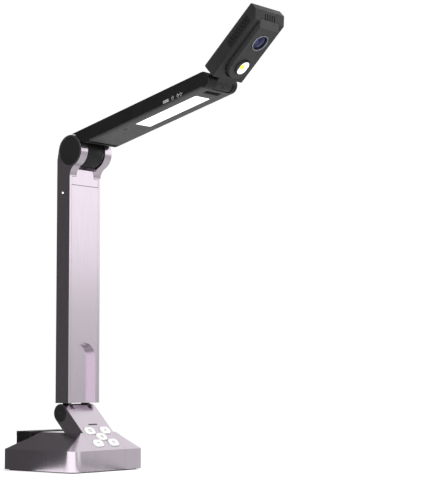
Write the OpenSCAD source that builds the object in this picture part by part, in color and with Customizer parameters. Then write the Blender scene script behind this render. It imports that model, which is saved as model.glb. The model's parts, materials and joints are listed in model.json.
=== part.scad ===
// Folding document camera: a weighted base with a keypad neck, a folding column,
// a lamp arm and a tilting camera head. Millimetres, +Z up, the arm reaches towards -Y.
// The origin is the middle of the base, on the surface that it stands on.
// Side outlines are drawn as [forward, up], where forward is -Y.

/* [Base] */
// Width of the base
base_w = 84; // [76:1:100]
// Depth of the base
base_d = 85; // [80:1:96]
// Height of the upright skirt
skirt_top = 17.4; // [14:0.1:19]
// Height of the flat top
base_top = 31; // [29:0.5:33]
// Radius of the upright corners
base_r = 9; // [5:0.5:12]
// Wall thickness of the base
base_wall = 2.2; // [1.6:0.1:2.8]
// Height of the rubber pad below the shell
foot_h = 1; // [0.6:0.1:1.5]

/* [Neck and keys] */
// Width of the tongue that runs up the front and carries the column
tongue_w = 34.8; // [32:0.2:35.6]
// How far the lower hinge stands in front of the middle of the base
low_f = 2.6; // [1:0.1:4]
// Height of the lower hinge
low_z = 46.5; // [45:0.1:48]
// Width of a key
key_w = 10.8; // [8:0.1:11.4]
// Height of a key along the slope
key_h = 7.6; // [6:0.1:8]
// How far a key travels
key_travel = 0.6; // [0.3:0.1:0.8]

/* [Column] */
// Width of the column
col_w = 36; // [34:0.5:38]
// Depth of the column, front to back
col_d = 14.8; // [14:0.2:16]
// How far the column's front stands in front of the middle of the base
col_f = 12; // [11:0.5:13]
// Gap between the lower hinge and the column's foot
col_gap = 8.3; // [8.2:0.1:9]
// Height of the upper hinge
up_z = 262.5; // [255:0.5:275]
// Width of the lens pocket
arch_w = 26.6; // [25:0.2:27]
// Height of the pocket's crown above the surface
arch_top = 104.5; // [96:0.5:112]

/* [Arm] */
// Width of the arm
arm_w = 35; // [33:0.5:35]
// Thickness of the arm
arm_t = 12.5; // [12:0.1:13]
// Distance between the arm's two hinges
arm_l = 149; // [146:1:160]
// Angle of the arm above level
arm_tilt = 13.5; // [0:0.5:40]
// Length of the lamp panel
lamp_l = 66; // [50:1:70]
// Width of the lamp panel
lamp_w = 18; // [12:0.5:22]

/* [Head] */
// Width of the head
head_w = 35; // [33:0.5:35]
// Length of the head
head_l = 62.5; // [60:0.5:66]
// Angle of the head above the arm
head_tilt = 29; // [0:1:60]
// Width of the raised lens pod
pod_w = 22.4; // [20:0.2:22.6]
// How far the pod stands proud
pod_h = 4.2; // [3:0.1:4.4]

/* [Hidden] */
$fn = 96;
eps = 0.02;

silver = [0.72, 0.68, 0.74];
black = [0.13, 0.13, 0.14];
grey = [0.36, 0.36, 0.37];
steel = [0.62, 0.62, 0.64];
board = [0.1, 0.35, 0.2];
white = [0.95, 0.95, 0.95];

// base and neck: the front slope runs at 45 degrees, so forward + up is the same all along it
slope_sum = base_d / 2 + skirt_top;
axis_sum = low_f + low_z;
neck_r = (slope_sum - axis_sum) / sqrt(2);
tangent = neck_r / sqrt(2);
neck_wall = 2;
hollow_top = low_z - 8.6;
flat_x = 20.2;            // half width of the flat top
flat_back = 17;           // how far back the flat top runs
flat_front = slope_sum - base_top;
seam = 0.15;              // gap at a seam between two covers
neck_back_f = axis_sum - (slope_sum - axis_sum) - base_top;
tongue_back = -neck_back_f + seam;
slot_in = 8.3;            // the two slots in the barrel that the column's leaves turn in
slot_out = 12.3;
leaf_r = 7.2;
low_shaft_r = 3;
low_cap_r = 6.9;
low_cap_t = 1.4;
low_clear_r = 8.1;

// rear connector block
port_w = 48;
port_f = -base_d / 2;
port_d = 16;
port_top = 31.4;
port_low = 6;
usb_size = [12, 11];
usb_mouth = [8.6, 7.8];
usb_x = -11;
usb_tongue = [5.6, 3.2];
socket_z = 15;
socket_d = 12;
base_screw = [32, 26];    // the four screws stand at plus and minus these
boss_r = 3.2;
pad_margin = 4;

// keys stand in two rows of two with one between them, on the slope
key_dx = 8.8;
key_row = 6.8;
key_mid_z = 27.5;
key_gap = 0.35;
key_proud = 0.9;
key_depth = 3.4;
key_places = [[-key_dx, key_row], [key_dx, key_row], [0, 0], [-key_dx, -key_row],
    [key_dx, -key_row]];
board_depth = 7;
switch_h = 1.6;
lug_size = [key_w + 1.6, 2.4, 0.8];
status_up = 14;           // distance of the status window up the slope from the middle key
status_size = [10.4, 1.5];

// column
low_y = -low_f;
col_y = -col_f;
col_back = col_d - col_f;
col_foot = low_z + col_gap;
col_wall = 2;
lip_w = 2.4;              // the bright strip along each front edge
lip_t = 1.8;
panel_w = col_w - 2 * lip_w - 2 * seam;
panel_top = 234.4;
pocket_step = 1.4;        // the ledge in the lens pocket
pocket_step_d = 2.4;
pocket_d = 5.4;
pocket_wall = 0.5;
pocket_floor = 1;

// upper hinge: round ears that sweep into the column's front
ear_r = 13.2;
ear_sweep = 10;
ear_in = 10.2;
sweep_drop = sqrt(pow(ear_r + ear_sweep, 2) - pow(ear_sweep, 2));
ear_foot = up_z - sweep_drop;
up_cap_r = 11.9;
up_cap_t = 1.4;
cap_gap = 0.15;
saddle_r = 14.6;
barrel_r = 12.2;
barrel_w = 17.6;
up_shaft_r = 3.2;
run_fit = 0.05;
back_blend_r = 3;
back_blend_drop = 7;

// arm, drawn with its upper hinge at the origin and level
arm_gap = 0.5;            // gap between the folded arm and the column
arm_top = arm_gap + arm_t;
arm_mid = arm_gap + arm_t / 2;
arm_wall = 1.8;
cover_t = 1.4;
cover_from = sweep_drop + 2;
cover_end = arm_l - 1.4;
root_lip = 0.15;
tip_r = arm_t / 2;
tip_gap = [-7, 13.2];     // the room between the tip's ears, left and right
tip_fit = 0.4;
tip_barrel_r = 5.7;
tip_pin_r = 1.6;
lamp_from = 67;
lamp_r = 1.5;
slot_from = 140.2;
slot_l = 5;
screw_at = 55.7;
screw_x = -8.7;

// head, drawn with the tip hinge at the origin and in line with the arm
head_root = 8.6;
head_tip = head_root + head_l;
head_low = -6;
head_high = 6.4;
lid_t = 1.8;
head_split = head_high - lid_t;
tip_face = -0.3;          // lower edge of the upright tip face, where the mic slope starts
pod_low = head_low - pod_h;
pod_root = head_root + 4.6;
groove_w = 1.8;
groove_d = 2.6;
ledge_tip = head_tip - (tip_face - head_low);
lens_at = 48.6;
lens_r = 7.4;
lens_bore = 6.3;
lens_proud = 0.5;
dome_r = 10.5;            // radius of the lens's outer surface
flash_at = 24.8;
flash_r = 6.6;
flash_proud = 1.8;        // the flash housing stands this far off the pod
flash_window = [8.8, 11.6];
flash_wall = 0.3;
bowl_d = 1.7;
bowl_in = 0.62;           // the bowl's floor as a share of its mouth
chip_w = 3.4;
vent_from = 34.4;
vent_l = 27.6;
vent_mid = -0.2;
vent_h = 7.6;
vent_rim = 0.7;
slat_count = 8;
slat_gap = 1.3;
mic_count = 5;
mic_pitch = 2.8;
mic_slot = [1.3, 6.2, 7];

// ---- shared shapes ----

// a side outline made into a bar across the object, centred on x
module across(w, x = 0) {
    translate([x, 0, 0]) rotate([90, 0, -90]) linear_extrude(w, center = true) children();
}

// a round bar along X
module bar(r, w, x = 0) {
    translate([x, 0, 0]) rotate([0, 90, 0]) cylinder(r = r, h = w, center = true);
}

// a block between two corners
module block(low, high) {
    translate(low) cube(high - low);
}

module rounded(w, h, r) {
    for (x = [-1, 1], y = [-1, 1]) translate([x * (w / 2 - r), y * (h / 2 - r)]) circle(r);
    square([w - 2 * r, h], center = true);
    square([w, h - 2 * r], center = true);
}

// points on an arc, for outlines
function arc(c, r, a0, a1, n = 24, first = 0) =
    [for (i = [first:n]) c + r * [cos(a0 + (a1 - a0) * i / n), sin(a0 + (a1 - a0) * i / n)]];

module at_low_hinge() { translate([0, low_y, low_z]) children(); }
module at_up_hinge() { translate([0, col_y, up_z]) children(); }
module in_arm() { at_up_hinge() rotate([-arm_tilt, 0, 0]) children(); }
module in_head() { in_arm() translate([0, -arm_l, arm_mid]) rotate([-head_tilt, 0, 0]) children(); }

// the slope's own frame: x across, y up the slope, z out of it
module on_slope(place = [0, 0]) {
    translate([0, -(slope_sum - key_mid_z), key_mid_z]) rotate([45, 0, 0])
        translate([place[0], place[1], 0]) children();
}

// a countersunk screw with a cross recess, head up
module screw(head_r, head_h, shank_r, shank_l) {
    difference() {
        union() {
            cylinder(r = head_r, h = head_h, $fn = 48);
            translate([0, 0, -shank_l]) cylinder(r = shank_r, h = shank_l + eps, $fn = 48);
        }
        for (a = [0, 90]) rotate([0, 0, a]) translate([0, 0, head_h])
            cube([head_r * 1.3, head_r * 0.3, head_h], center = true);
    }
}

// ---- base ----

module base_outline(grow = 0) {
    rounded(base_w + 2 * grow, base_d + 2 * grow, base_r + grow);
}

// the solid base form, drawn in by a wall
module base_form(wall = 0) {
    top = base_top - wall;
    translate([0, 0, foot_h]) linear_extrude(skirt_top - foot_h) base_outline(-wall);
    hull() {
        translate([0, 0, skirt_top - 0.1]) linear_extrude(0.1) base_outline(-wall, $fn = 48);
        block([-flat_x + wall / 2, -flat_front + wall / 2, top - 0.1],
            [flat_x - wall / 2, flat_back - wall / 2, top]);
    }
}

module port_zone(gap) {
    block([-port_w / 2 - gap, -port_f - port_d - gap, port_low - gap],
        [port_w / 2 + gap, -port_f + 1, port_top + 1]);
}

module base_shell() {
    color(silver) difference() {
        base_form();
        translate([0, 0, -eps]) base_form(base_wall);
        translate([0, 0, foot_h]) linear_extrude(base_wall) base_outline(-base_wall / 2);
        block([-tongue_w / 2 - seam, -base_d, 0], [tongue_w / 2 + seam, tongue_back, base_top + 1]);
        port_zone(seam);
    }
    color(silver) at_base_screws(foot_h + base_wall) difference() {
        cylinder(r = boss_r, h = 17);
        translate([0, 0, -1]) cylinder(r = 1.12, h = 10);
    }
}

module at_base_screws(z) {
    for (x = [-1, 1], y = [-1, 1]) translate([x * base_screw[0], y * base_screw[1], z]) children();
}

// side outline of the strip, the neck and its barrel
function tongue_outline() = concat(
    [[base_d / 2, foot_h], [base_d / 2, skirt_top]],
    arc([low_f, low_z], neck_r, 45, 225, 48),
    [[axis_sum - neck_r * sqrt(2) - (base_top - 3), base_top - 3],
     [slope_sum - neck_wall * sqrt(2) - (base_top - 3), base_top - 3],
     [base_d / 2 - neck_wall, skirt_top - neck_wall * (sqrt(2) - 1)],
     [base_d / 2 - neck_wall, foot_h]]);

// the hollow of the neck, open at the back for its cover
function neck_hollow() =
    let (front = slope_sum - neck_wall * sqrt(2), back = axis_sum - neck_r * sqrt(2) - 1,
         low = base_top - 4, high_f = low_f + tangent + 4)
    [[front - low, low], [high_f, front - high_f], [high_f - 3, hollow_top],
     [back - hollow_top, hollow_top], [back - low, low]];

module control_tongue() {
    color(silver) difference() {
        across(tongue_w) polygon(tongue_outline());
        across(tongue_w - 2 * neck_wall) polygon(neck_hollow());
        for (s = [-1, 1]) at_low_hinge()
            bar(low_clear_r, slot_out - slot_in, s * (slot_in + slot_out) / 2);
        at_low_hinge() bar(low_shaft_r + eps, tongue_w + 1);
        for (s = [-1, 1]) at_low_hinge()
            bar(low_cap_r + cap_gap, low_cap_t * 2, s * tongue_w / 2);
        for (p = key_places) on_slope(p)
            translate([0, 0, -2 * neck_wall]) linear_extrude(4 * neck_wall) key_outline(key_gap);
        on_slope([0, status_up]) translate([0, 0, -2 * neck_wall])
            linear_extrude(4 * neck_wall) rounded(status_size[0], status_size[1], 0.7);
    }
}

module neck_rear_cover() {
    back = axis_sum - neck_r * sqrt(2);
    low = base_top - 2.8;
    high = hollow_top - seam;
    color(silver) across(tongue_w - 2 * neck_wall - 2 * seam)
        polygon([[back - low, low], [back + 2.6 - low, low], [back + 2.6 - high, high],
            [back - high, high]]);
}

module bottom_cover() {
    color(black) difference() {
        translate([0, 0, foot_h + 0.2]) linear_extrude(base_wall - 0.4)
            base_outline(-base_wall / 2 - seam);
        block([-tongue_w, -base_d, 0], [tongue_w, -base_d / 2 + neck_wall + seam, base_wall * 2]);
        at_base_screws(0) cylinder(r = 1.2, h = 20);
        at_base_screws(0) cylinder(r = 1.8, h = 2.5);
    }
}

module ballast_plate() {
    color(steel) block([-28, -34, 3.2], [28, 26, 9.6]);
}

module rubber_pad() {
    color(black) difference() {
        linear_extrude(foot_h + 0.2) base_outline(-pad_margin);
        at_base_screws(-1) cylinder(r = 2.4, h = 4);
    }
}

module base_screws() {
    color(steel) at_base_screws(2.5) rotate([180, 0, 0]) screw(1.7, 0.9, 1.1, 6);
}

module rear_port_block() {
    color(black) difference() {
        port_zone(0);
        block([-port_w, -port_f, 0], [port_w, 2 * base_d, 2 * base_top]);
        block([-port_w, 0, port_top], [port_w, base_d, 2 * base_top]);
        block([-port_w / 2 + 2, 0, port_low - 1],
            [port_w / 2 - 2, -port_f - 3, port_top - 2]);
        socket_hole(usb_x, usb_size, 0.1);
        for (x = [-1, 1]) translate([x * (port_w / 2 - 3.5), -port_f, port_top - 5])
            rotate([90, 0, 0]) cylinder(r = 1.2, h = 4, center = true);
    }
}

module socket_hole(x, size, gap) {
    block([x - size[0] / 2 - gap, 0, socket_z - size[1] / 2 - gap],
        [x + size[0] / 2 + gap, base_d, socket_z + size[1] / 2 + gap]);
}

// a plug socket: a metal sleeve round a contact tongue
module socket(x, size, mouth, tongue) {
    rear = -port_f - 0.4;
    front = rear - socket_d;
    difference() {
        block([x - size[0] / 2, front, socket_z - size[1] / 2],
            [x + size[0] / 2, rear, socket_z + size[1] / 2]);
        block([x - mouth[0] / 2, front + 2, socket_z - mouth[1] / 2],
            [x + mouth[0] / 2, rear + 1, socket_z + mouth[1] / 2]);
    }
    block([x - tongue[0] / 2, front + 1, socket_z - tongue[1] / 2],
        [x + tongue[0] / 2, rear - 1.5, socket_z + tongue[1] / 2]);
}

module usb_socket() { color(steel) socket(usb_x, usb_size, usb_mouth, usb_tongue); }

module main_board() {
    color(board) block([-22, -12, 11], [22, -port_f - port_d + 2, 12.6]);
}

module keypad_board() {
    color(board) on_slope([0, 2.5]) translate([0, 0, -board_depth - 1.2])
        linear_extrude(1.2) square([29, 27], center = true);
}

module key_switches() {
    color(grey) for (p = key_places) on_slope(p) translate([0, 0, -board_depth])
        linear_extrude(switch_h) square([4.5, 4.5], center = true);
}

module status_window() {
    color(black) on_slope([0, status_up]) translate([0, 0, -neck_wall + 0.2])
        linear_extrude(neck_wall - 0.4)
            rounded(status_size[0] - 0.1, status_size[1] - 0.1, 0.6);
}

module lower_hinge_shaft() {
    color(steel) at_low_hinge() bar(low_shaft_r, tongue_w - 2 * low_cap_t - 0.4);
}

module lower_friction_washers() {
    color(steel) at_low_hinge() for (s = [-1, 1]) difference() {
        bar(leaf_r - 0.6, 0.5, s * (slot_in + 0.3));
        bar(low_shaft_r + eps, col_w);
    }
}

// a dark disc with a small hollow in its middle, for the ends of the lower hinge
module lower_cap(side) {
    color(black) at_low_hinge() difference() {
        bar(low_cap_r, low_cap_t, side * (tongue_w / 2 - low_cap_t / 2 + 0.15));
        bar(0.9, 1, side * (tongue_w / 2 + 0.2));
    }
}

module lower_cap_left() { lower_cap(-1); }
module lower_cap_right() { lower_cap(1); }

// ---- keys ----

module key_outline(grow = 0) {
    rounded(key_w + 2 * grow, key_h + 2 * grow, key_h / 2 - 0.6 + grow);
}

// a cap with a chamfered edge, two lugs that hold it under the cover, and a plunger
module key(i) {
    chamfer = 0.3;
    plunger_end = -board_depth + switch_h + key_travel + 0.1;
    color(white) on_slope(key_places[i]) {
        translate([0, 0, key_proud - key_depth]) linear_extrude(key_depth - chamfer)
            key_outline();
        translate([0, 0, key_proud - chamfer - eps]) linear_extrude(chamfer + eps)
            key_outline(-chamfer);
        translate([0, 0, -neck_wall - 0.3 - lug_size[2] / 2]) cube(lug_size, center = true);
        translate([0, 0, plunger_end])
            cylinder(r = 1.4, h = key_proud - key_depth - plunger_end + eps, $fn = 48);
    }
}

module key_top_left() { key(0); }
module key_top_right() { key(1); }
module key_centre() { key(2); }
module key_bottom_left() { key(3); }
module key_bottom_right() { key(4); }

// ---- column ----

// side outline of the column with its ears, about the upper hinge
function ear_front() =
    let (a = atan2(sweep_drop, ear_sweep))
    concat(arc([ear_sweep, -sweep_drop], ear_sweep, 180, 180 - a, 12),
        arc([0, 0], ear_r, -a, back_angle(), 40, 1));
// direction in which the ears' round leaves for the blend at the back
function back_angle() =
    let (dx = col_d - back_blend_r, far = norm([dx, back_blend_drop]))
    180 + atan2(back_blend_drop, dx) - acos((ear_r - back_blend_r) / far);
function back_blend() =
    arc([-col_d + back_blend_r, -back_blend_drop], back_blend_r, back_angle(), 180, 6, 1);

module column_side() {
    translate([col_f, up_z]) polygon(concat([[0, col_foot - up_z]], ear_front(), back_blend(),
        [[-col_d, col_foot - up_z]]));
}

module column_shell() {
    inner = col_w / 2 - col_wall;
    color(silver) difference() {
        across(col_w) column_side();
        // the hollow, the front opening and the pocket's open foot
        block([-inner, col_y + lip_t, col_foot + col_wall],
            [inner, col_back - col_wall, up_z - saddle_r - 2]);
        block([-panel_w / 2 - seam, col_y - 1, col_foot - 1],
            [panel_w / 2 + seam, col_y + lip_t + eps, ear_foot]);
        block([-ear_in, col_y - 1, col_foot], [ear_in, col_y + lip_t + eps, up_z - saddle_r + 1]);
        block([-panel_w / 2 - seam, col_y, col_foot - 1],
            [panel_w / 2 + seam, col_y + pocket_d + pocket_floor + seam, col_foot + 3]);
        // the saddle between the ears, and the room for the arm's barrel above it
        at_up_hinge() bar(saddle_r, 2 * ear_in);
        block([-ear_in, col_y - 2 * ear_r, up_z - back_blend_drop],
            [ear_in, col_back + 1, up_z + 2 * ear_r]);
        block([-ear_in, col_y - 2 * ear_r, up_z - 2 * ear_r],
            [ear_in, col_y + eps, up_z + ear_r]);
        at_up_hinge() bar(up_shaft_r + eps, col_w + 1);
        for (s = [-1, 1]) at_up_hinge() bar(up_cap_r + cap_gap, up_cap_t * 2, s * col_w / 2);
        // the leaves' openings, the light's bore and the four screw bores
        for (s = [-1, 1]) translate([s * (slot_in + slot_out) / 2, low_y, col_foot])
            cube([slot_out - slot_in, 11, 3 * col_wall], center = true);
        translate([-col_w / 2, col_y + 8, 228]) rotate([0, 90, 0])
            cylinder(r = 0.8, h = 3 * col_wall, center = true);
        for (x = [-1, 1], z = [66, 80]) translate([x * 10.3, col_back, z])
            rotate([90, 0, 0]) cylinder(r = 1.35, h = 3 * col_wall, center = true);
    }
}

// outline of the lens pocket, seen from the front
module arch(w) {
    r = w / 2;
    translate([0, arch_top - arch_w / 2]) circle(r);
    translate([-r, col_foot - 1]) square([w, arch_top - arch_w / 2 - col_foot + 1]);
}

// a plate that stands upright, from the column's front to a depth behind it
module upright(from, to) {
    translate([0, col_y + to, 0]) rotate([90, 0, 0]) linear_extrude(to - from) children();
}

module column_front_panel() {
    color(silver) difference() {
        union() {
            block([-panel_w / 2, col_y, col_foot], [panel_w / 2, col_y + lip_t - 0.2, panel_top]);
            difference() {
                upright(0, pocket_d + pocket_floor) arch(arch_w + 2 * pocket_wall);
                block([-col_w, col_y - 1, 0], [col_w, col_y + col_d, col_foot]);
            }
        }
        upright(-1, pocket_step_d) arch(arch_w);
        upright(0, pocket_d) arch(arch_w - 2 * pocket_step);
    }
}

// the piece between the ears: wide below them, narrow where it runs up to the saddle
module saddle_cover() {
    back = col_y + lip_t - 0.2;
    color(silver) difference() {
        union() {
            block([-panel_w / 2, col_y, panel_top + 2 * seam], [panel_w / 2, back, ear_foot - seam]);
            block([-ear_in + seam, col_y, panel_top + 4 * seam],
                [ear_in - seam, back, up_z - saddle_r + 1 - seam]);
        }
        at_up_hinge() bar(saddle_r, 2 * panel_w);
    }
}

// two leaves on a plate, screwed to the inside of the column's back
module lower_hinge_bracket() {
    plate_y = col_back - col_wall - 0.1;
    color(black) difference() {
        union() {
            for (s = [-1, 1]) {
                x = s * (slot_in + slot_out) / 2;
                w = slot_out - slot_in - 0.6 - 0.8;
                at_low_hinge() bar(leaf_r, w, x + s * 0.3);
                translate([x + s * 0.3 - w / 2, low_y - 4.3, low_z])
                    cube([w, 7.5, col_gap + 4]);
            }
            block([-13, plate_y - 2, col_foot + col_wall + 0.2], [13, plate_y, 86]);
            block([-13, low_y - 4.3, col_foot + col_wall + 0.2],
                [13, plate_y, col_foot + col_wall + 1.8]);
        }
        at_low_hinge() bar(low_shaft_r + run_fit, col_w);
        for (x = [-1, 1], z = [66, 80]) translate([x * 10.3, col_back, z])
            rotate([90, 0, 0]) cylinder(r = 1.15, h = 4 * col_wall, center = true);
        block([-panel_w / 2 - seam, col_y, col_foot],
            [panel_w / 2 + seam, col_y + pocket_d + pocket_floor + seam, col_foot + 8]);
    }
}

module bracket_screws() {
    color(steel) for (x = [-1, 1], z = [66, 80]) translate([x * 10.3, col_back + 0.02, z])
        rotate([-90, 0, 0]) screw(2.2, 0.9, 1.1, 3.8);
}

module indicator_light() {
    color(white) translate([-col_w / 2 + 1.1, col_y + 8, 228]) rotate([0, 90, 0])
        cylinder(r = 0.75, h = 2.6, center = true, $fn = 48);
}

module upper_hinge_shaft() {
    color(steel) at_up_hinge() bar(up_shaft_r, col_w - 2 * up_cap_t - 0.4);
}

module upper_friction_washers() {
    color(steel) at_up_hinge() for (s = [-1, 1]) difference() {
        bar(barrel_r - 1.5, ear_in - barrel_w / 2 - 0.3, s * (ear_in + barrel_w / 2 + 0.25) / 2);
        bar(up_shaft_r + eps, col_w);
    }
}

module upper_cap(side) {
    color(black) at_up_hinge() bar(up_cap_r, up_cap_t, side * (col_w / 2 - up_cap_t / 2 + 0.2));
}

module upper_cap_left() { upper_cap(-1); }
module upper_cap_right() { upper_cap(1); }

module column_wiring() {
    color(grey) block([-6, col_back - col_wall - 3.4, 90], [6, col_back - col_wall - 2.6, 240]);
}

// ---- arm ----

// side outline of the arm: the root is cut to clear the ears, the end is round
function arm_outline() =
    let (cut_r = ear_r + arm_gap, sweep_r = ear_sweep - arm_gap,
         a = atan2(ear_sweep, sweep_drop), b = acos(1 - root_lip / sweep_r))
    concat(arc([0, 0], cut_r, asin(arm_top / cut_r), a, 12),
        arc([sweep_drop, ear_sweep], sweep_r, 180 + a, 270 - b, 12, 1),
        [[cover_from - 1, arm_gap]]);

function tip_round(a0, a1) = arc([arm_l, arm_mid], tip_r, a0, a1, 24);

module arm_side() {
    polygon(concat(arm_outline(), tip_round(-90, 90)));
}

module arm_upper_shell() {
    cut_r = ear_r + arm_gap;
    color(black) in_arm() difference() {
        across(arm_w) arm_side();
        // the lower cover's place
        block([-arm_w, -cover_end, 0], [arm_w, -cover_from, arm_gap + cover_t]);
        // the hollow
        difference() {
            block([-arm_w / 2 + arm_wall, -arm_l + tip_r + 3, 0],
                [arm_w / 2 - arm_wall, -10, arm_top - arm_wall]);
            bar(cut_r + arm_wall, arm_w);
            translate([0, -sweep_drop, 0])
                block([-arm_w, 0, -1], [arm_w, sweep_drop, ear_sweep * 0.35]);
        }
        // the knuckle's way in at the root, and the head's at the tip
        block([-barrel_w / 2 - 0.1, -31, 3.4], [barrel_w / 2 + 0.1, 0, arm_top - arm_wall]);
        block([tip_gap[0], -arm_l - 2 * tip_r, -1],
            [tip_gap[1], -arm_l + tip_barrel_r + 0.7, arm_top + 1]);
        translate([0, -arm_l, arm_mid]) bar(tip_pin_r + eps, arm_w - 4);
    }
}

module arm_lower_cover() {
    color(grey) in_arm() difference() {
        block([-arm_w / 2, -cover_end, arm_gap],
            [arm_w / 2, -cover_from - seam, arm_gap + cover_t - 0.05]);
        translate([0, -lamp_from - lamp_l / 2, 0]) linear_extrude(4 * cover_t, center = true)
            rounded(lamp_w, lamp_l, lamp_r);
        translate([0, -slot_from - slot_l / 2, 0]) linear_extrude(4 * cover_t, center = true)
            rounded(lamp_w - 0.2, slot_l, 0.4);
        translate([screw_x, -screw_at, 0]) cylinder(r = 1.6, h = 10, center = true);
        translate([0, -arm_l, arm_mid])
            bar(tip_barrel_r + 0.25, tip_gap[1] - tip_gap[0], (tip_gap[0] + tip_gap[1]) / 2);
    }
}

// the barrel between the ears, with a tongue that runs into the arm
module arm_knuckle() {
    color(black) in_arm() difference() {
        union() {
            bar(barrel_r, barrel_w);
            intersection() {
                block([-barrel_w / 2, -30.8, 4.2], [barrel_w / 2, 0, arm_top - arm_wall - 0.1]);
                block([-arm_w, -arm_l, 0], [arm_w, 0, arm_top]);
            }
        }
        bar(up_shaft_r + run_fit, col_w);
        for (x = [-1, 1]) translate([x * 5, -25, 0]) cylinder(r = 1, h = 40, center = true);
    }
}

module knuckle_screws() {
    color(steel) in_arm() for (x = [-1, 1]) translate([x * 5, -25, 4.15])
        rotate([180, 0, 0]) screw(2, 1, 0.97, 5.5);
}

module led_board() {
    color(board) in_arm() block([-11, -lamp_from - lamp_l, 4.6], [11, -lamp_from, 5.8]);
}

module led_chips() {
    color(white) in_arm() for (x = [-1, 1], i = [0:7])
        translate([x * 4.5, -lamp_from - (i + 0.5) * lamp_l / 8, 4.2])
            cube([2.8, 3.5, 0.78], center = true);
}

module led_diffuser() {
    color(white) in_arm() {
        translate([0, -lamp_from - lamp_l / 2, arm_gap + 0.35]) linear_extrude(cover_t - 0.3)
            rounded(lamp_w - 0.2, lamp_l - 0.2, lamp_r - 0.1);
        translate([0, -lamp_from - lamp_l / 2, arm_gap + cover_t]) linear_extrude(1)
            rounded(lamp_w + 3, lamp_l + 3, lamp_r);
    }
}

module arm_cover_screw() {
    color(steel) in_arm() translate([screw_x, -screw_at, arm_gap + cover_t - 0.2])
        rotate([180, 0, 0]) screw(1.45, 0.7, 0.9, 5);
}

module tip_hinge_pin() {
    color(steel) in_arm() translate([0, -arm_l, arm_mid]) bar(tip_pin_r, arm_w - 4.4);
}

module arm_wiring() {
    color(grey) in_arm() block([-5, -arm_l + 12, 7.6], [5, -36, 8.4]);
}

// ---- head ----

// side outline of the head's body, root to tip
module head_side(low, high) {
    top = min(high, head_high);
    polygon([[head_root, low], [head_tip - (tip_face - low), low], [head_tip, tip_face],
        [head_tip, top], [head_root, top]]);
}

// outline of the pod, seen from below: round at the root, straight to a distance from the hinge
module pod_plan(grow, to = head_tip + 10) {
    r = pod_w / 2;
    translate([0, -pod_root - r]) circle(r + grow);
    translate([-r - grow, -to]) square([2 * (r + grow), to - pod_root - r]);
}

module head_body() {
    wall = 1.8;
    color(black) in_head() difference() {
        across(head_w) head_side(head_low, head_split);
        // the hollow under the lid
        block([-head_w / 2 + wall, -head_tip + 8, head_low + wall + groove_d - 0.8],
            [head_w / 2 - wall, -head_root - wall, head_split + 1]);
        // the groove round the pod, and the pod's seat
        translate([0, 0, head_low - 1]) linear_extrude(1 + groove_d) difference() {
            pod_plan(groove_w, ledge_tip - groove_w);
            pod_plan(0.1);
        }
        translate([0, 0, head_low - 1]) linear_extrude(2) pod_plan(0.1);
        // lens, flash and knuckle openings
        translate([0, -lens_at, 0]) cylinder(r = lens_bore + 0.1, h = 40, center = true);
        translate([0, -flash_at, 0]) cylinder(r = flash_r - 0.6, h = 40, center = true);
        block([tip_gap[0] + tip_fit - 0.1, -head_root - 4, -4.3],
            [tip_gap[1] - tip_fit + 0.1, -head_root + 1, 4.3]);
        // the vents' seats and the microphone slots
        for (s = [-1, 1]) vent_seat(s);
        for (i = [0:mic_count - 1]) mic_slope()
            translate([(i - (mic_count - 1) / 2) * mic_pitch, 0, 0])
                cube(mic_slot, center = true);
    }
}

// the slope at the tip: y runs up it and z out of it
module mic_slope() {
    translate([0, -head_tip + (tip_face - head_low) / 2 + 0.9, (head_low + tip_face) / 2 - 0.9])
        rotate([135, 0, 0]) children();
}

module vent_seat(s) {
    translate([s * head_w / 2, -vent_from - vent_l / 2, vent_mid]) rotate([0, 90, 0])
        linear_extrude(2.4, center = true) rounded(vent_h, vent_l, 1.8);
}

module head_lid() {
    color(black) in_head() difference() {
        across(head_w) polygon([[head_root, head_split + seam], [head_tip, head_split + seam],
            [head_tip, head_high - 0.6], [head_tip - 0.6, head_high], [head_root + 0.6, head_high],
            [head_root, head_high - 0.6]]);
    }
}

module lens_pod() {
    color(black) in_head() difference() {
        intersection() {
            translate([0, 0, pod_low]) linear_extrude(pod_h + 0.9) pod_plan(0);
            across(head_w) head_side(pod_low, 0);
        }
        translate([0, -lens_at, 0]) cylinder(r = lens_r + 0.05, h = 40, center = true);
        translate([0, -flash_at, 0]) cylinder(r = flash_r + 0.05, h = 40, center = true);
    }
}

// a ring about the lens axis
module ring(outer, inner, low, high) {
    translate([0, 0, low]) difference() {
        cylinder(r = outer, h = high - low);
        translate([0, 0, -1]) cylinder(r = inner, h = high - low + 2);
    }
}

module at_lens() { in_head() translate([0, -lens_at, 0]) children(); }
module at_flash() { in_head() translate([0, -flash_at, 0]) children(); }

module lens_ring() {
    color(steel) at_lens() ring(lens_r, lens_bore, pod_low - lens_proud, head_low + 0.8);
}

// a domed front glass on a straight rim
module lens_glass() {
    r = lens_bore - 0.05;
    crown = pod_low - 0.1;
    edge = crown + dome_r - sqrt(dome_r * dome_r - r * r);
    dome = arc([0, crown + dome_r], dome_r, -90, asin(r / dome_r) - 90, 10, 1);
    color([0.1, 0.1, 0.3]) at_lens() rotate_extrude()
        polygon(concat([[0, dome[0][1]]], dome, [[r, edge + 1], [0, edge + 1]]));
}

module lens_barrel() {
    color(black) at_lens() ring(5.1, 3.6, pod_low + 3.4, head_split - 3.6);
}

module sensor_board() {
    color(board) in_head() block([-13, -lens_at - 9, head_split - 3.5],
        [13, -flash_at + 9, head_split - 2.3]);
}

module flash_oval(shrink = 0) {
    rounded(flash_window[0] - 2 * shrink, flash_window[1] - 2 * shrink,
        flash_window[0] / 2 - 0.2 - shrink);
}

// a proud housing with an oval window
module flash_bezel() {
    color(black) at_flash() difference() {
        translate([0, 0, pod_low - flash_proud])
            cylinder(r = flash_r, h = head_low + 0.8 - pod_low + flash_proud);
        translate([0, 0, pod_low - flash_proud - 1]) linear_extrude(20) flash_oval();
    }
}

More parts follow.
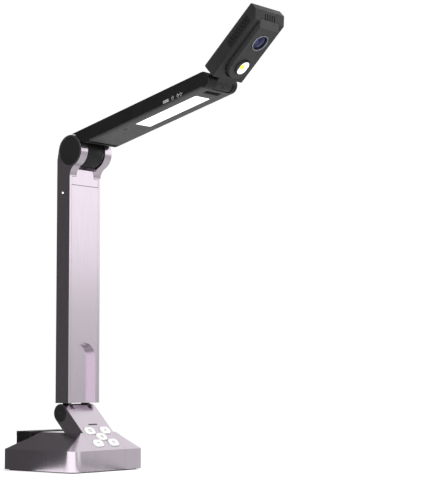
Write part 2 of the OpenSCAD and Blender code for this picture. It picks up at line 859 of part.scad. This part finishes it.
// a white bowl behind the window, with the light chip on its floor
module flash_reflector() {
    mouth = pod_low - flash_proud + flash_wall;
    color(white) at_flash() difference() {
        translate([0, 0, mouth]) linear_extrude(bowl_d + 1.2) flash_oval(0.05);
        translate([0, 0, mouth - eps]) linear_extrude(bowl_d, scale = bowl_in) flash_oval(0.4);
    }
}

module flash_chip() {
    color([0.95, 0.9, 0.2]) at_flash()
        translate([0, 0, pod_low - flash_proud + flash_wall + bowl_d - 0.35])
            cube([chip_w, chip_w, 0.66], center = true);
}

// a framed grille on each side: a rim, a sunk panel and slots through the panel
module side_vents() {
    color(black) in_head() for (s = [-1, 1]) difference() {
        intersection() {
            vent_seat(s);
            block([-head_w / 2, -head_tip, -20], [head_w / 2, 0, 20]);
        }
        translate([s * head_w / 2, -vent_from - vent_l / 2, vent_mid]) rotate([0, 90, 0])
            linear_extrude(0.7, center = true) difference() {
                rounded(vent_h - 2 * vent_rim, vent_l - 2 * vent_rim, 1.4);
                rounded(vent_h - 5 * vent_rim, vent_l - 5 * vent_rim, 0.7);
            }
        for (i = [0:slat_count - 1])
            translate([s * head_w / 2, -vent_from - vent_l * (i + 1) / (slat_count + 1), vent_mid])
                rotate([-20, 0, 0]) cube([2, slat_gap, vent_h - 3.6], center = true);
    }
}

module microphone() {
    color(steel) in_head() translate([0, -head_tip + 10.6, 0.6]) rotate([135, 0, 0])
        cylinder(r = 2, h = 1.6, center = true, $fn = 48);
}

// the barrel between the arm's end ears, with a tongue that runs into the head
module head_knuckle() {
    left = tip_gap[0] + tip_fit;
    right = tip_gap[1] - tip_fit;
    color(black) in_head() difference() {
        union() {
            bar(tip_barrel_r, right - left, (left + right) / 2);
            block([left, -head_root - 3.8, -4.2], [right, 0, 4.2]);
        }
        bar(tip_pin_r + run_fit, arm_w);
        at_head_screw() cylinder(r = 1, h = 6);
    }
}

// the set screw's bore, in the barrel's underside
module at_head_screw() { translate([2.2, 0, 0]) rotate([178, 0, 0]) translate([0, 0, 3]) children(); }

module head_screw() {
    color(steel) in_head() at_head_screw() cylinder(r = 0.95, h = 1.4, $fn = 48);
}

// ---- drawing ----

base_shell();
control_tongue();
neck_rear_cover();
bottom_cover();
ballast_plate();
rubber_pad();
base_screws();
rear_port_block();
usb_socket();
main_board();
keypad_board();
key_switches();
status_window();
lower_hinge_shaft();
lower_friction_washers();
lower_cap_left();
lower_cap_right();
key_top_left();
key_top_right();
key_centre();
key_bottom_left();
key_bottom_right();
column_shell();
column_front_panel();
saddle_cover();
lower_hinge_bracket();
bracket_screws();
indicator_light();
upper_hinge_shaft();
upper_friction_washers();
upper_cap_left();
upper_cap_right();
column_wiring();
arm_upper_shell();
arm_lower_cover();
arm_knuckle();
knuckle_screws();
led_board();
led_chips();
led_diffuser();
arm_cover_screw();
tip_hinge_pin();
arm_wiring();
head_knuckle();
head_screw();
head_body();
head_lid();
lens_pod();
lens_ring();
lens_glass();
lens_barrel();
sensor_board();
flash_bezel();
flash_reflector();
flash_chip();
side_vents();
microphone();
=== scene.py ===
"""Looks for the folding document camera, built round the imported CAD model.

Metres, +Z up. The camera stands at the origin and its arm reaches towards -Y.
"""
import json
import math

import bmesh
import bpy
from mathutils import Matrix, Vector


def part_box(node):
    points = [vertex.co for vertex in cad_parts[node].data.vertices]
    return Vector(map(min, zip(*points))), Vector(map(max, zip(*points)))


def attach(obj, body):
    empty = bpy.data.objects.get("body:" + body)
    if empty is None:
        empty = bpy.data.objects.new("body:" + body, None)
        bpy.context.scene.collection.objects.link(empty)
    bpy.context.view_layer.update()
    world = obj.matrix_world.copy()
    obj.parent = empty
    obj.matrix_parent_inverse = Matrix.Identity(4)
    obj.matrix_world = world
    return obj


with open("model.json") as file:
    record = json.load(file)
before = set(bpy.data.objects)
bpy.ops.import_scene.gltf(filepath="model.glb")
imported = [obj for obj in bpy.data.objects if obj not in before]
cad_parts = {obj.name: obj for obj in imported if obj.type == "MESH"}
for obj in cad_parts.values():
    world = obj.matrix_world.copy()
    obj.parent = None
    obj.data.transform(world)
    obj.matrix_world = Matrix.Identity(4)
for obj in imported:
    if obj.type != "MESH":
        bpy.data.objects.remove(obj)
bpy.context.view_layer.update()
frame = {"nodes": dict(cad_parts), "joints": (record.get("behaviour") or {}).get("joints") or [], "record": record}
nodes = frame["nodes"]
mm = 0.001


# ---- camera, light and floor ----

FRAME_H = 477            # the picture's height in pixels
FOCAL_PX = 1508.0        # focal length in the same pixels
SENSOR_H = 36.0
TONE_LOW = 0.55          # how bright the studio is below LOW_Z
TONE_HIGH = 1.0          # and above HIGH_Z; these are heights of a unit direction
LOW_Z = -0.06
HIGH_Z = 0.14
DARK_WALL = (-0.36, 0.9, 0.1)    # where the dark wall is, as a direction
WALL_EDGE = (0.36, 0.62)         # it fades in between these cosines of the angle from there
DARK_TONE = 0.08         # how bright the dark wall and the flags are
CARD = (206, 38)         # bearing and half width, in degrees, of a bright card
CARD_TONE = 1.5
FLAGS = ((248, 4), (294, 4))     # the same for two black flags
CARD_Z = (0.1, 0.5)      # middle and half of the heights that the card and the flags cover
PAPER_AT = (0.03, -0.36, 0)      # a bright sheet on the table, only seen in reflections
PAPER_R = 0.17
PAPER_CORE = 0.8         # the share of its radius at which the sheet starts to fade
PAPER_TONE = 1.6
BACKDROP = 1.0           # what the camera sees behind the object
FLOOR_R = 0.7
FLOOR_LIFT = 0.4         # how much the floor glows for the camera


def add_camera():
    data = bpy.data.cameras.new("camera")
    data.sensor_fit = "VERTICAL"
    data.sensor_height = SENSOR_H
    data.lens = FOCAL_PX / FRAME_H * SENSOR_H
    data.clip_end = 100
    camera = bpy.data.objects.new("camera", data)
    bpy.context.collection.objects.link(camera)
    camera.location = (-0.8897, -0.8960, 0.0793)
    camera.rotation_euler = (math.radians(90 + 5.09), math.radians(0.1), math.radians(-50.28))
    bpy.context.scene.camera = camera


def add_area(name, place, target, size, power, colour=(1, 1, 1)):
    data = bpy.data.lights.new(name, "AREA")
    data.shape = "RECTANGLE"
    data.size, data.size_y = size
    data.energy = power
    data.color = colour
    lamp = bpy.data.objects.new(name, data)
    bpy.context.collection.objects.link(lamp)
    lamp.location = place
    lamp.rotation_euler = (Vector(target) - Vector(place)).to_track_quat("-Z", "Y").to_euler()


class Studio:
    """The tone of the studio in a direction, as nodes: what the metal has to reflect.

    It is bright, and brighter higher up, with one dark wall behind and to the left, and a
    bright card between two black flags on the other side."""

    def __init__(self, tree, direction):
        self.tree = tree
        unit = self.vector("NORMALIZE", direction)
        parts = tree.nodes.new("ShaderNodeSeparateXYZ")
        tree.links.new(unit, parts.inputs[0])
        self.height = parts.outputs["Z"]
        self.bearing = self.math("ARCTAN2", parts.outputs["Y"], parts.outputs["X"])
        wall = self.spread(self.vector("DOT_PRODUCT", unit, DARK_WALL), *WALL_EDGE, 0, 1)
        tone = self.spread(self.height, LOW_Z, HIGH_Z, TONE_LOW, TONE_HIGH)
        tone = self.mix(wall, tone, DARK_TONE)
        tone = self.mix(self.band(*CARD), tone, CARD_TONE)
        for flag in FLAGS:
            tone = self.mix(self.band(*flag), tone, DARK_TONE)
        self.tone = tone

    def join(self, made, *values):
        """Feeds a node's inputs in order, by a link or as a number."""
        for socket, value in zip(made.inputs, values):
            if hasattr(value, "links"):
                self.tree.links.new(value, socket)
            else:
                socket.default_value = value
        return made

    def math(self, operation, *values):
        made = self.tree.nodes.new("ShaderNodeMath")
        made.operation = operation
        return self.join(made, *values).outputs[0]

    def vector(self, operation, *values):
        made = self.tree.nodes.new("ShaderNodeVectorMath")
        made.operation = operation
        self.join(made, *values)
        return made.outputs["Value" if operation in ("DOT_PRODUCT", "LENGTH") else "Vector"]

    def spread(self, value, low_in, high_in, low, high):
        """A smooth step from low to high as a value passes from low_in to high_in."""
        made = self.tree.nodes.new("ShaderNodeMapRange")
        made.interpolation_type = "SMOOTHSTEP"
        return self.join(made, value, low_in, high_in, low, high).outputs[0]

    def mix(self, share, a, b):
        """From a to b by a share."""
        return self.math("ADD", a, self.math("MULTIPLY", share, self.math("SUBTRACT", b, a)))

    def band(self, bearing, half):
        """One inside a bearing's band and the card's heights, nought outside them."""
        turned = (bearing + 180) % 360 - 180
        across = self.math("COMPARE", self.bearing, math.radians(turned), math.radians(half))
        if abs(turned) + half > 180:
            wrapped = turned - math.copysign(360, turned)
            beyond = self.math("COMPARE", self.bearing, math.radians(wrapped), math.radians(half))
            across = self.math("MAXIMUM", across, beyond)
        upright = self.math("COMPARE", self.height, *CARD_Z)
        return self.math("MULTIPLY", across, upright)


def by_camera(tree, reflected, seen):
    """Mixes two shaders: one that the object reflects, and one that the camera sees."""
    path = tree.nodes.new("ShaderNodeLightPath")
    mix = tree.nodes.new("ShaderNodeMixShader")
    tree.links.new(path.outputs["Is Camera Ray"], mix.inputs[0])
    tree.links.new(reflected.outputs[0], mix.inputs[1])
    tree.links.new(seen.outputs[0], mix.inputs[2])
    return mix.outputs[0]


def add_world():
    world = bpy.data.worlds.new("studio")
    bpy.context.scene.world = world
    world.use_nodes = True
    tree = world.node_tree
    tree.nodes.clear()
    coord = tree.nodes.new("ShaderNodeTexCoord")
    shade = tree.nodes.new("ShaderNodeBackground")
    tree.links.new(Studio(tree, coord.outputs["Generated"]).tone, shade.inputs["Color"])
    backdrop = tree.nodes.new("ShaderNodeBackground")
    backdrop.inputs["Color"].default_value = (BACKDROP, BACKDROP, BACKDROP, 1)
    out = tree.nodes.new("ShaderNodeOutputWorld")
    tree.links.new(by_camera(tree, shade, backdrop), out.inputs["Surface"])


def add_floor():
    """A pale table. The object reflects the studio's tone in it, with a sheet of paper in front."""
    bpy.ops.mesh.primitive_circle_add(vertices=96, radius=FLOOR_R, fill_type="NGON")
    floor = bpy.context.object
    floor.name = "floor"
    made = bpy.data.materials.new("floor")
    made.use_nodes = True
    tree = made.node_tree
    seen = tree.nodes["Principled BSDF"]
    seen.inputs["Base Color"].default_value = (0.9, 0.9, 0.9, 1)
    seen.inputs["Roughness"].default_value = 0.8
    seen.inputs["Emission Color"].default_value = (1, 1, 1, 1)
    seen.inputs["Emission Strength"].default_value = FLOOR_LIFT
    coord = tree.nodes.new("ShaderNodeTexCoord")
    studio = Studio(tree, coord.outputs["Object"])
    away = studio.vector("LENGTH", studio.vector("SUBTRACT", coord.outputs["Object"], PAPER_AT))
    paper = studio.spread(away, PAPER_R * PAPER_CORE, PAPER_R, 1, 0)
    mirrored = tree.nodes.new("ShaderNodeEmission")
    tree.links.new(studio.mix(paper, studio.tone, PAPER_TONE), mirrored.inputs["Strength"])
    tree.links.new(by_camera(tree, mirrored, seen), tree.nodes["Material Output"].inputs["Surface"])
    floor.data.materials.append(made)


bpy.context.scene.view_settings.view_transform = "Standard"
add_camera()
add_world()
add_floor()
add_area("key", (1.25, -1.05, 0.66), (0, -0.03, 0.2), (1.1, 0.8), 1.2, (1, 0.985, 1))
add_area("fill", (-0.35, -1.3, 1.2), (0, -0.05, 0.1), (0.9, 0.9), 5)


# ---- materials ----

class Finish:
    """A node material: colour, roughness and bump each vary on their own scale."""

    def __init__(self, name, colour, roughness, metallic=0.0, coat=0.0, specular=0.5):
        self.material = bpy.data.materials.new(name)
        self.material.use_nodes = True
        self.tree = self.material.node_tree
        self.shader = self.tree.nodes["Principled BSDF"]
        self.colour = colour
        self.shader.inputs["Metallic"].default_value = metallic
        self.shader.inputs["Coat Weight"].default_value = coat
        self.shader.inputs["Coat Roughness"].default_value = 0.25
        self.shader.inputs["Specular IOR Level"].default_value = specular
        self.shader.inputs["Roughness"].default_value = roughness
        self.coord = self.tree.nodes.new("ShaderNodeTexCoord")
        self.base = None
        self.roughness = roughness

    def node(self, kind, **values):
        made = self.tree.nodes.new(kind)
        for key, value in values.items():
            if key in made.inputs:
                made.inputs[key].default_value = value
            else:
                setattr(made, key, value)
        return made

    def link(self, a, b):
        self.tree.links.new(a, b)

    def noise(self, scale, detail=3, stretch=(1, 1, 1)):
        """Noise in the object's own space, finer or coarser along an axis."""
        place = self.node("ShaderNodeMapping")
        place.inputs["Scale"].default_value = stretch
        self.link(self.coord.outputs["Object"], place.inputs["Vector"])
        made = self.node("ShaderNodeTexNoise", Scale=scale, Detail=detail)
        self.link(place.outputs[0], made.inputs["Vector"])
        return made.outputs["Fac"]

    def spread(self, value, low, high, low_in=0.3, high_in=0.7):
        made = self.node("ShaderNodeMapRange")
        for key, number in zip(("From Min", "From Max", "To Min", "To Max"), (low_in, high_in, low, high)):
            made.inputs[key].default_value = number
        self.link(value, made.inputs["Value"])
        return made.outputs[0]

    def mottle(self, value, amount):
        """Colour that drifts lighter and darker by an amount."""
        mix = self.node("ShaderNodeMix", data_type="RGBA")
        mix.inputs["A"].default_value = (*[c * (1 - amount) for c in self.colour], 1)
        mix.inputs["B"].default_value = (*[min(1, c * (1 + amount)) for c in self.colour], 1)
        self.link(self.spread(value, 0, 1), mix.inputs["Factor"])
        self.base = mix.outputs["Result"]

    def wear_and_edge_highlight(self, colour, amount, radius=0.5 * mm):
        """Edges rubbed towards another, lighter colour, which is partly wear and partly a painted highlight along
        every sharp edge: found where a rounded normal leaves the true one.
        """
        bevel = self.node("ShaderNodeBevel", samples=4)
        bevel.inputs["Radius"].default_value = radius
        geometry = self.node("ShaderNodeNewGeometry")
        dot = self.node("ShaderNodeVectorMath", operation="DOT_PRODUCT")
        self.link(bevel.outputs[0], dot.inputs[0])
        self.link(geometry.outputs["Normal"], dot.inputs[1])
        edge = self.spread(dot.outputs["Value"], amount, 0, 0.75, 0.98)
        broken = self.node("ShaderNodeMath", operation="MULTIPLY")
        self.link(edge, broken.inputs[0])
        self.link(self.spread(self.noise(900, 2), 0.25, 1), broken.inputs[1])
        mix = self.node("ShaderNodeMix", data_type="RGBA")
        mix.inputs["B"].default_value = (*colour, 1)
        self.link(broken.outputs[0], mix.inputs["Factor"])
        self.link(self.base, mix.inputs["A"])
        self.base = mix.outputs["Result"]

    def rough(self, value, amount):
        self.link(self.spread(value, self.roughness - amount, self.roughness + amount),
                  self.shader.inputs["Roughness"])

    def bump(self, value, distance, strength=1.0):
        made = self.node("ShaderNodeBump")
        made.inputs["Distance"].default_value = distance
        made.inputs["Strength"].default_value = strength
        self.link(value, made.inputs["Height"])
        self.link(made.outputs[0], self.shader.inputs["Normal"])

    def done(self):
        if self.base is not None:
            self.link(self.base, self.shader.inputs["Base Color"])
        return self.material


def silver_paint():
    """Metallic lilac-silver paint, faintly brushed up and down."""
    f = Finish("silver_paint", (0.66, 0.59, 0.66), 0.2, metallic=1.0)
    f.mottle(f.noise(2600, 4), 0.05)
    # Lighter edges: partly rubbed paint, partly a painted edge highlight.
    f.wear_and_edge_highlight((0.9, 0.87, 0.9), 0.4)
    f.rough(f.noise(1400, 3, (1, 1, 0.03)), 0.05)
    f.bump(f.noise(2400, 3), 0.01 * mm, 0.25)
    return f.done()


def grained_black(name="grained_black", colour=(0.011, 0.011, 0.0115), roughness=0.5):
    f = Finish(name, colour, roughness, specular=0.32)
    f.mottle(f.noise(60, 4), 0.18)
    # Greyer edges: partly rubbed plastic, partly a painted edge highlight.
    f.wear_and_edge_highlight((0.12, 0.12, 0.12), 0.35)
    f.rough(f.noise(350, 4), 0.07)
    f.bump(f.noise(3200, 2), 0.03 * mm, 0.6)
    return f.done()


def smooth_black():
    f = Finish("smooth_black", (0.016, 0.016, 0.017), 0.34)
    f.mottle(f.noise(90, 3), 0.15)
    # Greyer edges: partly rubbed plastic, partly a painted edge highlight.
    f.wear_and_edge_highlight((0.1, 0.1, 0.1), 0.35)
    f.rough(f.noise(500, 3), 0.05)
    f.bump(f.noise(1500, 2), 0.008 * mm, 0.4)
    return f.done()


def satin_grey():
    f = Finish("satin_grey", (0.05, 0.05, 0.051), 0.42)
    f.mottle(f.noise(70, 4), 0.12)
    # Lighter edges: partly rubbed plastic, partly a painted edge highlight.
    f.wear_and_edge_highlight((0.2, 0.2, 0.2), 0.3)
    f.rough(f.noise(400, 4), 0.06)
    f.bump(f.noise(2800, 2), 0.02 * mm, 0.5)
    return f.done()


def white_plastic(name="white_plastic", colour=(0.88, 0.88, 0.89), roughness=0.3):
    f = Finish(name, colour, roughness, coat=0.2)
    f.mottle(f.noise(220, 3), 0.025)
    f.rough(f.noise(700, 3), 0.05)
    f.bump(f.noise(1800, 2), 0.006 * mm, 0.3)
    return f.done()


def plated(name, colour, roughness, stretch=(1, 1, 1)):
    f = Finish(name, colour, roughness, metallic=1.0)
    f.mottle(f.noise(300, 4, stretch), 0.08)
    f.rough(f.noise(900, 3, stretch), 0.08)
    f.bump(f.noise(2200, 2, stretch), 0.008 * mm, 0.4)
    return f.done()


def soft_rubber():
    f = Finish("soft_rubber", (0.03, 0.03, 0.03), 0.8)
    f.mottle(f.noise(150, 4), 0.25)
    f.rough(f.noise(800, 3), 0.08)
    f.bump(f.noise(2600, 3), 0.05 * mm, 0.7)
    return f.done()


def solder_mask():
    f = Finish("solder_mask", (0.02, 0.12, 0.05), 0.35)
    f.mottle(f.noise(900, 2, (1, 1, 0.2)), 0.3)
    f.rough(f.noise(500, 2), 0.08)
    return f.done()


def lit_panel():
    """A frosted panel with lamps behind it."""
    f = Finish("lit_panel", (0.92, 0.92, 0.94), 0.4)
    f.mottle(f.noise(180, 3), 0.02)
    f.rough(f.noise(900, 3), 0.05)
    f.bump(f.noise(3000, 2), 0.01 * mm, 0.4)
    f.shader.inputs["Emission Color"].default_value = (0.97, 0.97, 1, 1)
    f.shader.inputs["Emission Strength"].default_value = 1.2
    return f.done()


def lens_coating():
    """Dark glass with a blue coating, which mirrors the table and the room."""
    f = Finish("lens_coating", (0.008, 0.012, 0.06), 0.05, coat=0.3, specular=0.5)
    f.shader.inputs["Specular Tint"].default_value = (0.45, 0.52, 1, 1)
    f.shader.inputs["Coat Roughness"].default_value = 0.02
    f.mottle(f.noise(260, 2), 0.5)
    return f.done()


def glowing_white(name, colour, strength):
    """White plastic that glows. On the indicator a lamp is behind it. On the flash reflector no lamp is behind it,
    and the glow is a painted reflection of the bright room.
    """
    f = Finish(name, colour, 0.3, coat=0.3)
    f.mottle(f.noise(400, 3), 0.03)
    f.rough(f.noise(900, 2), 0.05)
    f.shader.inputs["Emission Color"].default_value = (*colour, 1)
    f.shader.inputs["Emission Strength"].default_value = strength
    return f.done()


def chip_yellow():
    f = Finish("chip_yellow", (0.85, 0.85, 0.05), 0.4)
    f.mottle(f.noise(700, 3), 0.12)
    f.shader.inputs["Emission Color"].default_value = (0.8, 0.85, 0.05, 1)
    f.shader.inputs["Emission Strength"].default_value = 0.25
    return f.done()


SILVER = silver_paint()
BLACK = grained_black(colour=(0.008, 0.008, 0.0085))
HEAD_BLACK = grained_black("head_black", (0.026, 0.026, 0.027), 0.5)
DISC = smooth_black()
GREY = satin_grey()
WHITE = white_plastic(colour=(0.93, 0.93, 0.93))
MARK = grained_black("mark_grey", (0.22, 0.22, 0.23), 0.5)
MARK_LIGHT = white_plastic("mark_light", (0.6, 0.6, 0.6), 0.5)
# The flash reflector's glow is painted light: a glowing white disc stands in for a mirror cup reflecting the
# bright room.
REFLECTOR_PAINTED_GLOW = glowing_white("reflector_painted_reflection", (0.93, 0.93, 0.9), 0.7)
DOT = glowing_white("indicator_white", (0.95, 0.95, 0.95), 1.0)
POD_BLACK = grained_black("pod_black", (0.04, 0.04, 0.041), 0.45)
STEEL = plated("plated_steel", (0.6, 0.6, 0.61), 0.3)
LENS_METAL = plated("lens_metal", (0.3, 0.31, 0.34), 0.25)
GOLD = plated("contact_gold", (0.85, 0.62, 0.25), 0.25)
RUBBER = soft_rubber()
BOARD = solder_mask()
PANEL = lit_panel()
LENS = lens_coating()
YELLOW = chip_yellow()

BY_SLOT = {
    "silver_cover": SILVER, "black_cover": BLACK, "grey_cover": GREY, "cap_black": DISC,
    "hinge_leaf": DISC, "key_white": WHITE, "rubber": RUBBER, "steel": STEEL,
    "circuit_board": BOARD, "switch_grey": GREY, "led_white": WHITE, "diffuser": PANEL,
    "lens_metal": LENS_METAL, "lens_black": DISC, "lens_glass": LENS, "reflector": REFLECTOR_PAINTED_GLOW,
    "flash_yellow": YELLOW,
}
BY_NODE = {"head_body": HEAD_BLACK, "head_lid": HEAD_BLACK, "lens_pod": POD_BLACK,
           "head_knuckle": HEAD_BLACK, "side_vents": DISC, "flash_bezel": DISC,
           "indicator_light": DOT}

# How far the edges of the mouldings are rounded, in millimetres. Three stay sharp. On the
# control tongue and the column's front panel a rounding also fills inside corners, which closes
# the gap round the centre key and the pocket that the folded head goes into. On the base shell
# it smears the reflection at the corner.
EDGE = {
    "column_shell": 0.6, "saddle_cover": 0.25, "neck_rear_cover": 0.3, "rear_port_block": 0.6,
    "usb_socket": 0.15, "upper_cap_left": 0.3, "upper_cap_right": 0.3, "lower_cap_left": 0.3,
    "lower_cap_right": 0.3, "arm_upper_shell": 0.5, "arm_lower_cover": 0.3, "arm_knuckle": 0.4,
    "head_body": 0.5, "head_lid": 0.3, "head_knuckle": 0.4, "lens_pod": 0.5, "lens_ring": 0.25,
    "flash_bezel": 0.35,
}
WELD = 0.002 * mm            # points closer than this are one
FLAT = math.radians(0.6)     # faces that turn less than this are joined first
CORNER = math.radians(32)    # only edges sharper than this are rounded
ROUND_STEPS = 3


def dress_nodes():
    """Gives each CAD node its own material, or the one of its slot."""
    for entry in frame["record"]["subparts"]:
        piece = nodes[entry["node"]]
        piece.data.materials.clear()
        piece.data.materials.append(BY_NODE.get(piece.name, BY_SLOT[entry["material_slot"]]))


def round_edges():
    """Rounds the sharp edges of the mouldings, so that they catch a line of light."""
    for name, radius in EDGE.items():
        piece = nodes[name]
        weld = piece.modifiers.new("weld", "WELD")
        weld.merge_threshold = WELD
        flat = piece.modifiers.new("flat", "DECIMATE")
        flat.decimate_type = "DISSOLVE"
        flat.angle_limit = FLAT
        bevel = piece.modifiers.new("rounding", "BEVEL")
        bevel.width = radius * mm
        bevel.segments = ROUND_STEPS
        bevel.limit_method = "ANGLE"
        bevel.angle_limit = CORNER
        bevel.harden_normals = True
        bevel.miter_outer = "MITER_ARC"


# ---- marks and small parts ----

ARM_TILT = math.radians(13.5)      # how far the arm rises from level
SLOPE_TILT = math.radians(45)      # and how far the keys' slope does
INK = 0.05 * mm          # how thick a mark is; half of it is sunk into the face
LINE = 0.4               # width of a key mark's lines, in millimetres
FACE_TOL = 0.01 * mm     # points this close to a key's highest are on its top face
LAMP_LINE = 0.35         # width of the lamp marks' lines, in millimetres
RAY_LINE = 0.3
LAMP_UP = 3.5            # the lamp marks' height over the arm's hinge line
BLOCK_AT = 109.5         # and how far along the arm each stands
ONE_BULB_AT = 116.7
TWO_BULBS_AT = 123.9
CONTACTS = 4
CONTACT_PITCH = 1.2      # millimetres from one contact to the next
CONTACT_L = 4
CONTACT_W = 0.7
CONTACT_IN = 4           # their middle, in from the socket's rear face
TONGUE_UP = 1.6          # the top of the socket's tongue, over its middle


def seat(origin, across, up):
    """A frame on a face: x across it, y up it and z out of it."""
    x, y = Vector(across), Vector(up)
    z = x.cross(y)
    made = Matrix((x, y, z)).transposed().to_4x4()
    made.translation = Vector(origin)
    return made


def outline(points, width, closed=False):
    """The left and right points of a line of even width."""
    count = len(points)
    sides = []
    for i, point in enumerate(points):
        before = points[i - 1] if i or closed else point
        after = points[(i + 1) % count] if i < count - 1 or closed else point
        first = (point - before).normalized() if before != point else (after - point).normalized()
        last = (after - point).normalized() if after != point else first
        normal = Vector((-(first + last).y, (first + last).x)).normalized()
        reach = width / 2 / max(0.4, normal.dot(Vector((-last.y, last.x))))
        sides.append((point + normal * reach, point - normal * reach))
    return sides


def print_mark(name, strokes, place, material, body):
    """A printed mark: each stroke is (points, width, closed) in millimetres on the face's frame."""
    mesh = bmesh.new()
    for points, width, closed in strokes:
        rows = [[mesh.verts.new((*(p * mm), z)) for p in pair for z in (-INK / 2, INK / 2)]
                for pair in outline([Vector(p) for p in points], width, closed)]
        ring = rows + rows[:1] if closed else rows
        for a, b in zip(ring, ring[1:]):
            for i, j in ((1, 3), (3, 2), (2, 0), (0, 1)):
                mesh.faces.new((a[i], a[j], b[j], b[i]))
        if not closed:
            for end in (rows[0], rows[-1]):
                mesh.faces.new((end[0], end[1], end[3], end[2]))
    bmesh.ops.recalc_face_normals(mesh, faces=mesh.faces)
    data = bpy.data.meshes.new(name)
    mesh.to_mesh(data)
    mesh.free()
    piece = bpy.data.objects.new(name, data)
    bpy.context.collection.objects.link(piece)
    piece.matrix_world = place
    data.materials.append(material)
    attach(piece, body)
    return piece


def circle(x, y, r, start=0, turn=360, count=20):
    """Points round a circle, or along a part of it."""
    step = math.radians(turn) / (count if turn == 360 else count - 1)
    turns = [math.radians(start) + i * step for i in range(count)]
    return [(x + r * math.cos(t), y + r * math.sin(t)) for t in turns]


def ring(x, y, r, width):
    return circle(x, y, r), width, True


def bar(x0, y0, x1, y1, width):
    return [(x0, y0), (x1, y1)], width, False


def spoke(x, y, inner, outer, degrees, width):
    """A short line that points away from a centre."""
    c, s = math.cos(math.radians(degrees)), math.sin(math.radians(degrees))
    return bar(x + inner * c, y + inner * s, x + outer * c, y + outer * s, width)


SUN_RAYS = 8
KEY_MARKS = {
    "key_top_left": [([(-1.6, -1.1), (1.6, -1.1), (1.6, 1.1), (-1.6, 1.1)], LINE, True),
                     bar(-0.7, 0, 0.7, 0, LINE)],
    "key_top_right": [bar(-1.4, -0.9, 0.2, 0.9, LINE), bar(-0.1, -0.9, 1.5, 0.9, LINE)],
    "key_centre": [ring(0, 0, 0.8, LINE), 
                   *[spoke(0, 0, 1.3, 1.8, i * 360 / SUN_RAYS, LINE) for i in range(SUN_RAYS)]],
    "key_bottom_left": [bar(-1.3, 0, 1.3, 0, LINE), bar(-1.3, 0, -0.5, 0.8, LINE),
                        bar(-1.3, 0, -0.5, -0.8, LINE)],
    "key_bottom_right": [(circle(0, 0, 1.3, 120, 300, 16), LINE, False), bar(0, 0.3, 0, 1.7, LINE)],
}


def key_face(key, up, out):
    """The middle of a key's top face."""
    corners = [nodes[key].matrix_world @ v.co for v in nodes[key].data.vertices]
    top = max(c.dot(out) for c in corners)
    along = [c.dot(up) for c in corners if c.dot(out) > top - FACE_TOL]
    low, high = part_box(key)
    return Vector(((low[0] + high[0]) / 2, 0, 0)) + up * (min(along) + max(along)) / 2 + out * top


def add_key_marks():
    """A plain symbol on each key, which goes down with it."""
    up = Vector((0, math.cos(SLOPE_TILT), math.sin(SLOPE_TILT)))
    out = Vector((0, -math.sin(SLOPE_TILT), math.cos(SLOPE_TILT)))
    for key, strokes in KEY_MARKS.items():
        place = seat(key_face(key, up, out), (1, 0, 0), up)
        print_mark(key + "_mark", strokes, place, MARK, key)


def bulb(x, y):
    """A lamp bulb: a globe, the line of its base and two rays on its upper right."""
    return [(circle(x, y, 0.95, -50, 280, 14), LAMP_LINE, False),
            bar(x - 0.45, y - 1.3, x + 0.45, y - 1.3, LAMP_LINE),
            *[spoke(x, y, 1.45, 1.85, degrees, RAY_LINE) for degrees in (30, 90)]]


def add_lamp_marks():
    """On the arm's left side, beside the lamp: three plain bars, one bulb and two bulbs."""
    hinge = next(Vector(j["pos_m"]) for j in frame["joints"] if j["name"] == "arm_fold")
    along = Vector((0, -math.cos(ARM_TILT), math.sin(ARM_TILT)))
    up = Vector((0, math.sin(ARM_TILT), math.cos(ARM_TILT)))
    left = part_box("arm_upper_shell")[0][0]
    line = Vector((left, hinge.y, hinge.z)) + up * LAMP_UP * mm
    block = [bar(-3, y, 3, y, 0.5) for y in (-0.8, 0, 0.8)]
    two_bulbs = bulb(-1.6, 0) + bulb(1.6, 0)
    for name, at, strokes in (("lamp_mark_block", BLOCK_AT, block),
                              ("lamp_mark_one", ONE_BULB_AT, bulb(0, 0)),
                              ("lamp_mark_two", TWO_BULBS_AT, two_bulbs)):
        place = seat(line + along * at * mm, along, up)
        print_mark(name, strokes, place, MARK_LIGHT, "arm")


def add_contacts():
    """The gold contacts on top of the socket's tongue."""
    low, high = (Vector(c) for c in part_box("usb_socket"))
    middle = (low + high) / 2
    strip = [bar(0, -CONTACT_L / 2, 0, CONTACT_L / 2, CONTACT_W)]
    for i in range(CONTACTS):
        x = middle.x + (i - (CONTACTS - 1) / 2) * CONTACT_PITCH * mm
        place = (x, high.y - CONTACT_IN * mm, middle.z + TONGUE_UP * mm)
        print_mark("usb_contact_%d" % (i + 1), strip, seat(place, (1, 0, 0), (0, 1, 0)),
                   GOLD, "base")


dress_nodes()
round_edges()
add_key_marks()
add_lamp_marks()
add_contacts()

bpy.context.view_layer.update()
